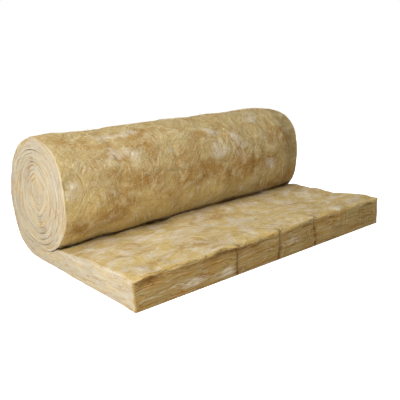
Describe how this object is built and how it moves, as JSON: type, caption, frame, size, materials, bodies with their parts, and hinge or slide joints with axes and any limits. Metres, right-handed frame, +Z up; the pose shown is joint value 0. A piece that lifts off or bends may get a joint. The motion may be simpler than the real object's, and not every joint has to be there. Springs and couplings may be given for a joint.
{
  "type": "insulation roll",
  "caption": "Glass-wool insulation blanket, rolled up with its free end unrolled flat on the floor.",
  "frame": {"origin": "centre of the footprint, on the floor", "axes": "+X along the roll's width, -Y towards the unrolled leaf's cut end, +Z up"},
  "size_m": [1.14, 0.85, 0.45],
  "materials": {
    "glass_wool": "matte, fibrous, straw coloured"
  },
  "bodies": {
    "root": {"wool_blanket": "glass_wool"}
  },
  "joints": []
}
